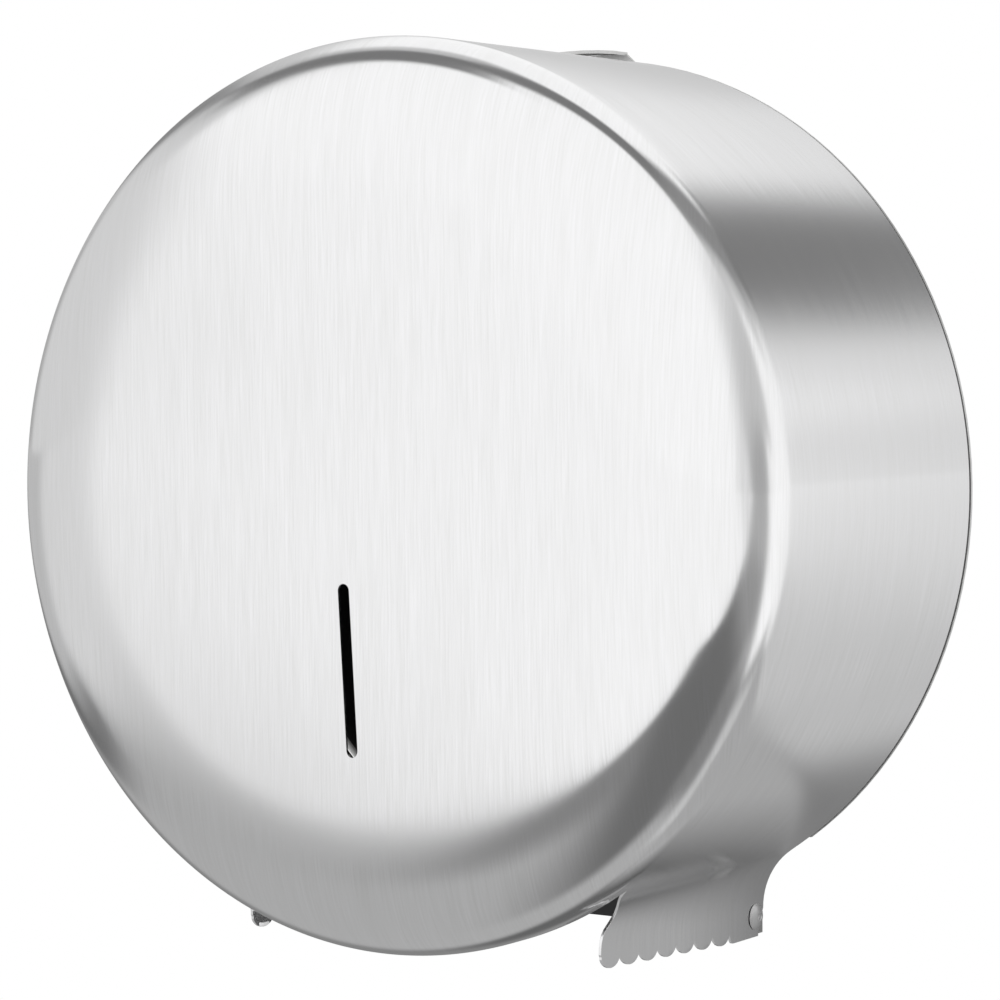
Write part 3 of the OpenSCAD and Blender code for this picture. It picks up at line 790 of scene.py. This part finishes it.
    def lip(self, bm: BMesh, side: Side) -> None:
        """Adds one lip: a flat strip off the drum, the bend and the toothed flange.

        Args:
            bm: The mesh, which already has the drum's side.
            side: Which lip.
        """
        rows = self.lip_rows()
        verts, edges = chain(bm, [(side.value * x, -h, z) for x, h, z in rows[0]])
        top_verts, top_edges = verts, edges
        for row in rows[1:]:
            grown = bmesh.ops.extrude_edge_only(bm, edges=edges)["geom"]
            new = [g for g in grown if isinstance(g, BMVert)]
            edges = [g for g in grown if isinstance(g, BMEdge) and all(
                v in new for v in g.verts)]
            partner = {v: next(e.other_vert(v) for e in v.link_edges if e not in edges) for v in new}
            order = {old: i for i, old in enumerate(verts)}
            verts = sorted(new, key=lambda v: order[partner[v]])
            for vert, (x, h, z) in zip(verts, row):
                vert.co = (side.value * x, -h, z)
        self.join_to_drum(bm, side, top_verts, top_edges)

    def join_to_drum(self, bm: BMesh, side: Side, top_verts: list[BMVert], top_edges: list[BMEdge]
                     ) -> None:
        """Fills the flat strip between the drum's cut edge and the top of the bend.

        Args:
            bm: The mesh.
            side: Which lip.
            top_verts: The bend's top row, from the rear to the front.
            top_edges: Its edges.
        """
        cut_edges = [e for e in bm.edges if e.is_boundary and all(
            abs(v.co.x - side.value * self.leave_x) < NEAR and abs(v.co.z - self.leave_z) < NEAR
            and -v.co.y < self.ring_back + NEAR for v in e.verts)]
        cut_verts = sorted({v for e in cut_edges for v in e.verts}, key=lambda v: -v.co.y)
        ends = [bm.edges.new((cut_verts[0], top_verts[0])), bm.edges.new((cut_verts[-1], top_verts[-1]))]
        bmesh.ops.triangle_fill(bm, use_beauty=True, use_dissolve=False,
                                edges=cut_edges + top_edges + ends)

    def lay_grain(self, bm: BMesh) -> None:
        """Lays the grain's UV map, in metres: across it in U, along it in V.

        The face is brushed upright and keeps that grain round the drawn edge, unrolled from the
        disc. The side and the lips are brushed round the drum.
        """
        layer = bm.loops.layers.uv.new("grain")
        side_front = self.depth - self.edge_axial
        for face in bm.faces:
            centre = face.calc_center_median()
            on_lip = centre.z < self.leave_z and -centre.y < self.ring_back and (
                math.hypot(centre.x, centre.z) > self.radius + NEAR
                or abs(centre.x) < self.leave_x and centre.z < self.leave_z)
            middle = math.atan2(centre.z, centre.x)
            for loop in face.loops:
                x, h, z = loop.vert.co.x, -loop.vert.co.y, loop.vert.co.z
                if on_lip:
                    loop[layer].uv = (h, self.radius * self.outlet_angle + z)
                elif -centre.y < side_front:
                    angle = math.atan2(z, x)
                    angle += 2 * math.pi * round((middle - angle) / (2 * math.pi))
                    loop[layer].uv = (h, self.radius * angle)
                else:
                    reach = self.unrolled(math.hypot(x, z))
                    stretch = reach / max(math.hypot(x, z), 1e-6)
                    loop[layer].uv = (x * stretch, z * stretch)

    def unrolled(self, r: float) -> float:
        """Distance from the centre along the sheet, out over the drawn edge, at radius r."""
        if r <= self.edge[0].x:
            return r
        for i, point in enumerate(self.edge[1:], 1):
            if r <= point.x:
                share = (r - self.edge[i - 1].x) / max(point.x - self.edge[i - 1].x, 1e-9)
                return self.reach[i - 1] + share * (self.reach[i] - self.reach[i - 1])
        return self.reach[-1]


# ---- Rivets ----


@dataclass
class HingeRivet:
    """A domed blind rivet on one lip, with the dimple that its mandrel leaves."""

    side: Side
    cover: Cover
    out: float = 7.5 * MM
    up: float = 6.1 * MM
    head_r: float = 4 * MM
    head_h: float = 1.5 * MM
    dimple_r: float = 1.1 * MM
    shank_r: float = 2 * MM
    crimp_r: float = 3.1 * MM
    crimp_length: float = 1.4 * MM
    mandrel_r: float = 0.35 * MM
    fillet: float = 0.1 * MM
    play: float = 0.2 * MM
    dome_steps: int = 10
    dome_share: float = 0.72
    turn_steps: int = 56

    def build(self) -> Object:
        """Builds the rivet.

        Returns:
            The rivet's object, which stands for the plain one.
        """
        node = "right_hinge_rivet" if self.side is Side.RIGHT else "left_hinge_rivet"
        low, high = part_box(node)
        inner, outer = sorted((abs(low.x), abs(high.x)))
        seat = self.cover.lip_x + self.play
        dome_r = (self.head_r ** 2 + self.head_h ** 2) / (2 * self.head_h)
        half = math.asin(self.head_r / dome_r)
        fillet, crimp_end = self.fillet, inner + self.crimp_length
        profile = [(0.0, inner), (self.crimp_r - 2 * fillet, inner), (self.crimp_r, inner + 2 * fillet),
                   (self.crimp_r, crimp_end), (self.shank_r, crimp_end), (self.shank_r, seat),
                   (self.head_r - 1.5 * fillet, seat), (self.head_r, seat + 1.2 * fillet)]
        for i in range(1, self.dome_steps + 1):
            angle = half * (1 - self.dome_share * i / self.dome_steps)
            profile.append((dome_r * math.sin(angle), seat + self.head_h - dome_r * (1 - math.cos(angle))))
        floor = seat + self.head_h * 0.4
        rim = profile[-1][1]
        profile += [(self.dimple_r + fillet, rim - 0.5 * fillet),
                    (self.dimple_r - 0.5 * fillet, rim - 2 * fillet),
                    (self.dimple_r - 1.5 * fillet, floor + fillet), (self.dimple_r - 4 * fillet, floor),
                    (self.mandrel_r, floor), (self.mandrel_r - fillet, floor + 1.5 * fillet),
                    (0.0, floor + 2 * fillet)]
        bm = bmesh.new()
        centre = Vector((0, -self.out, self.cover.lip_end + self.up))
        verts, edges = chain(bm, [(self.side.value * x, centre.y, centre.z + r) for r, x in profile])
        bmesh.ops.spin(bm, geom=verts + edges, cent=centre, axis=(1, 0, 0), angle=2 * math.pi,
                       steps=self.turn_steps, use_merge=True, use_duplicate=False)
        bmesh.ops.remove_doubles(bm, verts=bm.verts[:], dist=0.005 * MM)
        bmesh.ops.recalc_face_normals(bm, faces=bm.faces[:])
        piece = finished(f"{node}_head", bm, RIVET_HEAD, Body.MOUNTING)
        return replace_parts(piece, node)


# ---- Carried-over pieces ----


def dress_nodes() -> None:
    """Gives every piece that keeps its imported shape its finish."""
    for name, finish in CAD_FINISHES.items():
        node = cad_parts[name]
        if node.hide_render:
            continue
        node.data.materials.clear()
        node.data.materials.append(finish.material())
        LOG.info("%s: %s", name, finish.name)


# ---- Studio ----


class Half(Enum):
    """The half of the surroundings that a light card stands in."""

    SKY = "sky"
    FLOOR = "floor"


@dataclass(frozen=True)
class Card:
    """A soft rectangle of the light tent, as the metal sees it.

    Each half of the surroundings is a round chart in degrees, seen from above: its centre is
    straight up or straight down, its rim at 90 is the horizon, x grows to the right and y to the
    wall. Black cards and gaps in the tent have a low level.
    """

    role: str
    half: Half
    left: float
    right: float
    front: float
    rear: float
    level: float
    soft: tuple[float, float] = (5.0, 5.0)
    turn: float = 0.0


@dataclass(frozen=True)
class Flag:
    """A dark card that stands close behind the wall plane, below the drum.

    It is the wall's shadow under the object, as the metal of the lips sees it. It grows lighter
    to the right, out of the shadow. The camera does not see it.
    """

    role: str
    left: float
    right: float
    top: float
    foot: float
    level: float
    far_level: float
    far: float = 100 * MM
    behind: float = 10 * MM

    def build(self) -> None:
        """Builds the card and puts it on the stage."""
        bm = bmesh.new()
        centre = Vector(((self.left + self.right) / 2, self.behind, (self.top + self.foot) / 2))
        place = Matrix.LocRotScale(centre, Matrix.Rotation(math.pi / 2, 3, "X"), Vector((
            self.right - self.left, self.top - self.foot, 1.0)))
        bmesh.ops.create_grid(bm, x_segments=1, y_segments=1, size=0.5, matrix=place)
        card = put_in_scene(self.role, bm)
        material = empty_material(self.role)
        tree = material.node_tree
        place = add(tree, "ShaderNodeTexCoord").outputs["Object"]
        across = add(tree, "ShaderNodeSeparateXYZ", inputs={0: place}).outputs[0]
        strength = add(tree, "ShaderNodeMapRange", inputs={
            "Value": across, "From Min": self.left, "From Max": self.far,
            "To Min": self.level, "To Max": self.far_level}).outputs[0]
        glow = add(tree, "ShaderNodeEmission", inputs={"Color": (1, 1, 1, 1), "Strength": strength})
        add(tree, "ShaderNodeOutputMaterial", inputs={"Surface": glow.outputs[0]})
        card.data.materials.append(material)
        card.visible_camera = False
        card.visible_shadow = False


@dataclass
class Studio:
    """Soft light from all round, the wall's shade under the drum, a pale floor and the camera."""

    eye: Vector = field(default_factory=lambda: Vector((549.394, -862.347, 44.492)) * MM)
    right: Vector = field(default_factory=lambda: Vector((0.82817922, 0.5604226, -0.00675925)))
    up: Vector = field(default_factory=lambda: Vector((-0.02163769, 0.04402213, 0.99879621)))
    lens: float = 118.668
    sensor: float = 36.0
    floor_drop: float = 0.9
    floor_r: float = 2.2
    sky: float = 0.6
    ground: float = 0.46
    cards: tuple[Card, ...] = (
        Card("wall behind", Half.SKY, -24, 50, 58, 110, 0.72, (5, 5)),
        Card("left rear sheet", Half.SKY, -42, 17, 14, 60, 1.04, (6, 4)),
        Card("post left rear", Half.SKY, -64, -53, 8, 62, 0.27, (3, 3)),
        Card("dark overhead right", Half.SKY, 15, 36, -4, 56, 0.29, (5, 5)),
        Card("bar behind", Half.SKY, 4, 27, 54, 69, 0.2, (4, 3)),
        Card("front sheet", Half.SKY, -80, 68, -130, -5, 1.06, (14, 2.5), 20),
        Card("left low sheet", Half.SKY, -110, -60, -110, 22, 0.71, (6, 6)),
        Card("left rear dusk", Half.SKY, -110, -68, 26, 90, 0.42, (5, 8)),
        Card("gap overhead left", Half.SKY, -55, -10, -13, 6, 0.2, (3, 3), -8),
        Card("gap overhead right", Half.SKY, -16, 26, 2, 18, 0.21, (3, 3), 32),
        Card("front sheet dusk", Half.SKY, 68, 110, -70, -34, 0.8, (8, 6)),
        Card("right dusk", Half.SKY, 77, 110, -33, 14, 0.42, (6, 6)),
        Card("right rear sheet", Half.SKY, 46, 110, 31, 90, 1.05, (6, 6)),
        Card("right rear sheet end", Half.SKY, 77, 110, 17, 90, 1.05, (4, 5)),
        Card("right rear sheet top", Half.SKY, 35, 50, 55, 72, 1.02, (3, 3)),
        Card("wall behind", Half.FLOOR, 16, 50, 66, 110, 0.76, (5, 3)),
        Card("floor right front", Half.FLOOR, -4, 64, -100, -6, 0.165, (15, 8)),
        Card("floor right middle", Half.FLOOR, 26, 56, -16, 13, 0.25, (6, 6)),
        Card("floor right rear", Half.FLOOR, 16, 46, 16, 68, 0.62, (4, 5)),
        Card("floor rear", Half.FLOOR, -8, 16, 50, 90, 0.58, (5, 5)),
        Card("dark rear", Half.FLOOR, -66, 4, 26, 66, 0.25, (5, 8)),
        Card("dark rear corner", Half.FLOOR, -26, 0, 30, 60, 0.14, (5, 6)),
        Card("left wall foot", Half.FLOOR, -110, -74, -20, 50, 0.54, (3, 5)),
        Card("post left", Half.FLOOR, -73, -66, -24, 50, 0.17, (3, 3)),
        Card("left front foot", Half.FLOOR, -103, -63.4, -75, -17, 0.74, (3, 4), 23),
        Card("front foot dusk", Half.FLOOR, -36, 2, -70, -53, 0.25, (8, 6)),
        Card("right front foot", Half.FLOOR, 62, 110, -40, 6, 0.33, (6, 5)),
        Card("right foot dusk", Half.FLOOR, 76, 110, -40, 8, 0.45, (5, 6)),
        Card("right rear sheet", Half.FLOOR, 54, 110, 14, 110, 1.08, (4, 5)),
        Card("right rear sheet foot", Half.FLOOR, 44, 60, 44, 110, 1.02, (4, 4)),
        Card("front sheet foot", Half.FLOOR, -60, 110, -160, -64.5, 1.04, (2, 1)),
        Card("front sheet foot right", Half.FLOOR, 24, 110, -120, -46.5, 1.04, (2, 1), 28),
        Card("front sheet foot dusk", Half.FLOOR, 68, 110, -62, -36, 0.82, (6, 6)))

    flags: tuple[Flag, ...] = (
        Flag("shadow_left_lip_sees", -8 * MM, 38 * MM, -139 * MM, -161 * MM, 0.01, 0.01),
        Flag("dusk_right_lip_sees", 48 * MM, 260 * MM, -117 * MM, -300 * MM, 0.1, 0.43))

    def build(self) -> None:
        """Sets the camera, the light, the floor and the view."""
        self.camera()
        self.world()
        self.floor()
        for flag in self.flags:
            flag.build()
        scene = bpy.context.scene
        scene.view_settings.view_transform = "Standard"

    def camera(self) -> None:
        """Places the camera where the photograph was taken from."""
        data = bpy.data.cameras.new("camera")
        data.lens = self.lens
        data.sensor_width = self.sensor
        data.clip_start = 0.05
        data.clip_end = 50.0
        camera = bpy.data.objects.new("camera", data)
        bpy.context.scene.collection.objects.link(camera)
        back = self.right.cross(self.up)
        turn = Matrix((self.right, self.up, back)).transposed().to_4x4()
        camera.matrix_world = Matrix.Translation(self.eye) @ turn
        bpy.context.scene.camera = camera

    def world(self) -> None:
        """Builds the light tent: white where the camera looks, soft cards in the metal."""
        world = bpy.data.worlds.new("studio")
        bpy.context.scene.world = world
        world.use_nodes = True
        tree = world.node_tree
        tree.nodes.clear()
        direction = add(tree, "ShaderNodeTexCoord").outputs["Generated"]
        parts = add(tree, "ShaderNodeSeparateXYZ", inputs={0: direction}).outputs
        upward = add(tree, "ShaderNodeMath", {"operation": "GREATER_THAN"}, {
            0: parts[2], 1: 0.0}).outputs[0]
        downward = add(tree, "ShaderNodeMath", {"operation": "SUBTRACT"}, {
            0: 1.0, 1: upward}).outputs[0]
        flat = add(tree, "ShaderNodeCombineXYZ", inputs={0: parts[0], 1: parts[1]}).outputs[0]
        across = add(tree, "ShaderNodeVectorMath", {"operation": "LENGTH"}, {0: flat}).outputs["Value"]
        height = add(tree, "ShaderNodeMath", {"operation": "ABSOLUTE"}, {0: parts[2]}).outputs[0]
        from_pole = add(tree, "ShaderNodeMath", {"operation": "ARCTAN2"}, {
            0: across, 1: height}).outputs[0]
        degrees = add(tree, "ShaderNodeMath", {"operation": "DEGREES"}, {0: from_pole}).outputs[0]
        ahead = add(tree, "ShaderNodeVectorMath", {"operation": "NORMALIZE"}, {0: flat}).outputs[0]
        chart = add(tree, "ShaderNodeVectorMath", {"operation": "SCALE"}, {
            0: ahead, "Scale": degrees}).outputs[0]
        halves = {Half.SKY: upward, Half.FLOOR: downward}
        level: Any = add(tree, "ShaderNodeMix", {"data_type": "FLOAT"}, {
            0: upward, 2: self.ground, 3: self.sky}).outputs[0]
        for card in self.cards:
            mask = add(tree, "ShaderNodeMath", {"operation": "MULTIPLY"}, {
                0: self.mask(tree, chart, card), 1: halves[card.half]}).outputs[0]
            level = add(tree, "ShaderNodeMix", {"data_type": "FLOAT"}, {
                0: mask, 2: level, 3: card.level}).outputs[0]
        seen = add(tree, "ShaderNodeLightPath").outputs["Is Camera Ray"]
        strength = add(tree, "ShaderNodeMix", {"data_type": "FLOAT"}, {0: seen, 2: level, 3: 1.0})
        light = add(tree, "ShaderNodeBackground", inputs={
            "Color": (1, 1, 1, 1), "Strength": strength.outputs[0]})
        add(tree, "ShaderNodeOutputWorld", inputs={"Surface": light.outputs[0]})

    def mask(self, tree: NodeTree, chart: NodeSocket, card: Card) -> NodeSocket:
        """Where a card stands on its chart.

        Args:
            tree: The world's node tree.
            chart: The place on the chart, in degrees.
            card: The card.

        Returns:
            A value that is 1 on the card and falls softly to 0 beyond it.
        """
        middle = ((card.left + card.right) / 2, (card.front + card.rear) / 2, 0.0)
        own = add(tree, "ShaderNodeMapping", {"vector_type": "TEXTURE"}, {
            "Vector": chart, "Location": middle, "Rotation": (0.0, 0.0, math.radians(card.turn))})
        size = ((card.right - card.left) / 2, (card.rear - card.front) / 2)
        off = add(tree, "ShaderNodeVectorMath", {"operation": "ABSOLUTE"}, {0: own.outputs[0]})
        parts = add(tree, "ShaderNodeSeparateXYZ", inputs={0: off.outputs[0]}).outputs
        masks = [add(tree, "ShaderNodeMapRange", {"interpolation_type": "SMOOTHSTEP"}, {
            "Value": parts[i], "From Min": size[i] + card.soft[i],
            "From Max": size[i] - card.soft[i]}).outputs[0] for i in range(2)]
        return add(tree, "ShaderNodeMath", {"operation": "MULTIPLY"}, dict(enumerate(masks))).outputs[0]

    def floor(self) -> None:
        """Lays a pale floor well below the object, where its soft shadow falls."""
        bm = bmesh.new()
        bmesh.ops.create_circle(bm, cap_ends=True, segments=96, radius=self.floor_r,
                                matrix=Matrix.Translation((0, 0, -self.floor_drop)))
        floor = put_in_scene("floor", bm)
        material = empty_material("pale_floor")
        tree = material.node_tree
        shader = add(tree, "ShaderNodeBsdfPrincipled", inputs={
            "Base Color": linear("#F2F2F2"), "Roughness": 0.9})
        add(tree, "ShaderNodeOutputMaterial", inputs={"Surface": shader.outputs[0]})
        floor.data.materials.append(material)
        floor.visible_glossy = False


def main() -> None:
    """Builds the scene in order."""
    logging.basicConfig(level=logging.INFO, format="%(message)s")
    Studio().build()
    cover = Cover()
    cover.build()
    for side in Side:
        HingeRivet(side, cover).build()
    dress_nodes()


if __name__ == "__main__":
    main()
